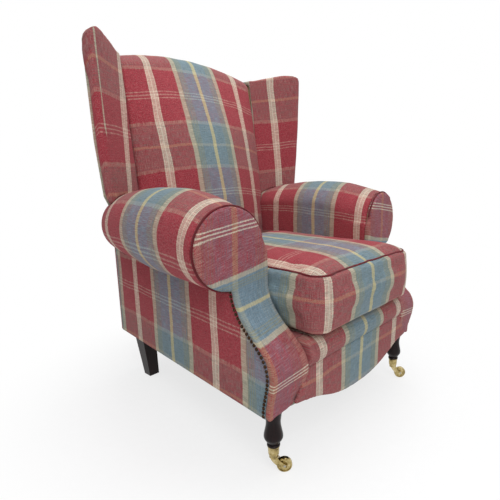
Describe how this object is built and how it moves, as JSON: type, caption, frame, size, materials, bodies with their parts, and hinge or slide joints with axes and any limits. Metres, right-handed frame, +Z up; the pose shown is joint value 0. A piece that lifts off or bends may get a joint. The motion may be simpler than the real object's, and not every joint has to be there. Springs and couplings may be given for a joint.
{
  "type": "wing-backed fireside armchair",
  "caption": "Upholstered wing-backed fireside armchair with scroll arms, loose seat cushion, checked wool cover, nail trim, turned front legs on brass castors and square tapered back legs.",
  "frame": {"origin": "on the floor under the middle of the chair's overall box", "axes": "+Z up, the chair faces -Y, +X is to the right of someone looking at the back of the chair from -Y"},
  "size_m": [0.899, 0.85, 1.1],
  "materials": {
    "check_wool": "brushed wool-look check in crimson, cream, dusty blue and pale yellow",
    "cushion_foam": "open-cell seat foam with fibre wrap",
    "frame_timber": "sawn beech",
    "frame_ply": "birch plywood",
    "dark_wood": "dark stained and lacquered hardwood",
    "webbing": "woven elasticated webbing",
    "black_cloth": "black non-woven dust cloth",
    "nail_bronze": "antique bronze upholstery nails",
    "castor_brass": "polished lacquered brass",
    "axle_steel": "turned steel",
    "bolt_steel": "zinc-plated steel"
  },
  "bodies": {
    "chair": {"front_rail": "frame_timber", "back_rail": "frame_timber", "tacking_rail": "frame_timber", "top_rail": "frame_timber", "corner_blocks": "frame_timber", "leg_bolts": "bolt_steel", "seat_webbing": "webbing", "back_webbing": "webbing", "inside_back": "check_wool", "outside_back": "check_wool", "seat_platform": "check_wool", "platform_lip": "check_wool", "front_border": "check_wool", "dust_cloth": "black_cloth", "back_post_left": "frame_timber", "back_post_right": "frame_timber", "arm_post_left": "frame_timber", "arm_post_right": "frame_timber", "arm_cheek_left": "frame_ply", "arm_cheek_right": "frame_ply", "side_rail_left": "frame_timber", "side_rail_right": "frame_timber", "arm_rail_left": "frame_timber", "arm_rail_right": "frame_timber", "scroll_board_left": "frame_ply", "scroll_board_right": "frame_ply", "wing_pad_left": "check_wool", "wing_pad_right": "check_wool", "wing_board_left": "frame_ply", "wing_board_right": "frame_ply", "outside_wing_left": "check_wool", "outside_wing_right": "check_wool", "arm_pad_left": "check_wool", "arm_pad_right": "check_wool", "arm_facing_left": "check_wool", "arm_facing_right": "check_wool", "scroll_piping_left": "check_wool", "scroll_piping_right": "check_wool", "outside_arm_left": "check_wool", "outside_arm_right": "check_wool", "nail_trim_left": "nail_bronze", "nail_trim_right": "nail_bronze", "front_leg_left": "dark_wood", "front_leg_right": "dark_wood", "back_leg_left": "dark_wood", "back_leg_right": "dark_wood", "castor_cup_left": "castor_brass", "castor_cup_right": "castor_brass"},
    "cushion": {"cushion_cover": "check_wool", "cushion_foam": "cushion_foam", "cushion_piping": "check_wool"},
    "castor_left": {"castor_fork_left": "castor_brass", "castor_axle_left": "axle_steel"},
    "wheel_left": {"castor_wheel_left": "castor_brass"},
    "castor_right": {"castor_fork_right": "castor_brass", "castor_axle_right": "axle_steel"},
    "wheel_right": {"castor_wheel_right": "castor_brass"}
  },
  "joints": [
    {"name": "castor_swivel_left", "type": "hinge", "parent": "chair", "child": "castor_left", "pos_m": [-0.31104, -0.33736, 0.05], "axis": [0, 0, 1], "continuous": true},
    {"name": "wheel_spin_left", "type": "hinge", "parent": "castor_left", "child": "wheel_left", "pos_m": [-0.29298, -0.35606, 0.019], "axis": [0.7193, 0.6947, 0], "continuous": true},
    {"name": "castor_swivel_right", "type": "hinge", "parent": "chair", "child": "castor_right", "pos_m": [0.31104, -0.33736, 0.05], "axis": [0, 0, 1], "continuous": true},
    {"name": "wheel_spin_right", "type": "hinge", "parent": "castor_right", "child": "wheel_right", "pos_m": [0.3291, -0.35606, 0.019], "axis": [0.7193, 0.6947, 0], "continuous": true},
    {"name": "cushion_lift", "type": "slide", "parent": "chair", "child": "cushion", "axis": [0, 0, 1], "range_m": [0, 0.15]}
  ]
}
